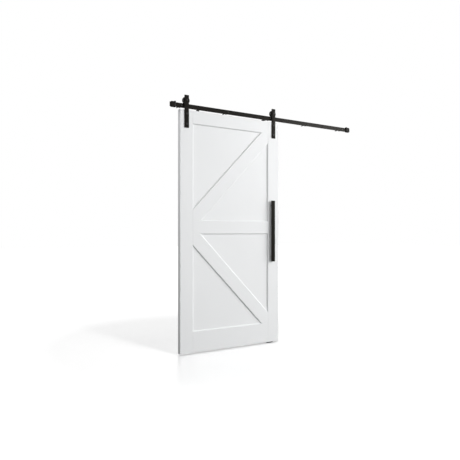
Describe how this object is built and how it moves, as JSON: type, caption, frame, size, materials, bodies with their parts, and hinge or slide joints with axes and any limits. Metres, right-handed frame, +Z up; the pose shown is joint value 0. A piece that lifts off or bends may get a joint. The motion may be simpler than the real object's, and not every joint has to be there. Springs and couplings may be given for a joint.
{
  "type": "interior barn door",
  "caption": "White K-brace interior barn door that slides on grooved wheels along a flat-bar wall track, with straps, end stops, pull bar and floor guide.",
  "frame": {"origin": "centre of the middle wall spacer's back face, on the wall's plane, at the height of the track bar's centre line", "axes": "+X along the track, +Y into the wall so that the door's face looks along -Y, +Z up"},
  "size_m": [2.134, 0.145, 2.3],
  "materials": {
    "white_paint": "satin white paint over primed wood fibre boards",
    "black_steel": "matte black powder coat on steel bar",
    "black_bolts": "black oxide and lacquer on steel fixings",
    "black_rubber": "matte black rubber",
    "black_nylon": "satin black glass-filled nylon",
    "bearing_steel": "ground bearing steel",
    "beech": "bare beech"
  },
  "bodies": {
    "track": {"track_rail": "black_steel", "wall_spacers": "black_steel", "lag_bolts": "black_bolts", "left_stop_body": "black_steel", "right_stop_body": "black_steel", "left_stop_bumper": "black_rubber", "right_stop_bumper": "black_rubber", "stop_screws": "black_bolts", "floor_guide": "black_steel", "floor_guide_screws": "black_bolts"},
    "door": {"left_stile": "white_paint", "right_stile": "white_paint", "top_rail": "white_paint", "mid_rail": "white_paint", "bottom_rail": "white_paint", "upper_panel": "white_paint", "lower_panel": "white_paint", "upper_brace_front": "white_paint", "upper_brace_back": "white_paint", "lower_brace_front": "white_paint", "lower_brace_back": "white_paint", "frame_tenons": "beech", "left_strap": "black_steel", "right_strap": "black_steel", "strap_bolts": "black_bolts", "strap_nuts": "black_bolts", "axle_bolts": "black_bolts", "axle_sleeves": "black_bolts", "axle_nuts": "black_bolts", "bearing_inner_rings": "bearing_steel", "anti_jump_discs": "black_rubber", "anti_jump_screws": "black_bolts", "handle_bar": "black_steel", "handle_posts": "black_steel", "handle_bolts": "black_bolts"},
    "left_roller": {"left_wheel": "black_nylon", "left_bearing": "bearing_steel"},
    "right_roller": {"right_wheel": "black_nylon", "right_bearing": "bearing_steel"}
  },
  "joints": [
    {"name": "door_slide", "type": "slide", "parent": "track", "child": "door", "axis": [1, 0, 0], "range_m": [-0.075, 0.956]},
    {"name": "left_wheel_roll", "type": "hinge", "parent": "door", "child": "left_roller", "pos_m": [-0.912, -0.042, 0.0482], "axis": [0, 1, 0], "continuous": true},
    {"name": "right_wheel_roll", "type": "hinge", "parent": "door", "child": "right_roller", "pos_m": [0.031, -0.042, 0.0482], "axis": [0, 1, 0], "continuous": true}
  ],
  "couplings": [
    {"joint": "left_wheel_roll", "follows": "door_slide", "rad_per_m": 35.714},
    {"joint": "right_wheel_roll", "follows": "door_slide", "rad_per_m": 35.714}
  ]
}
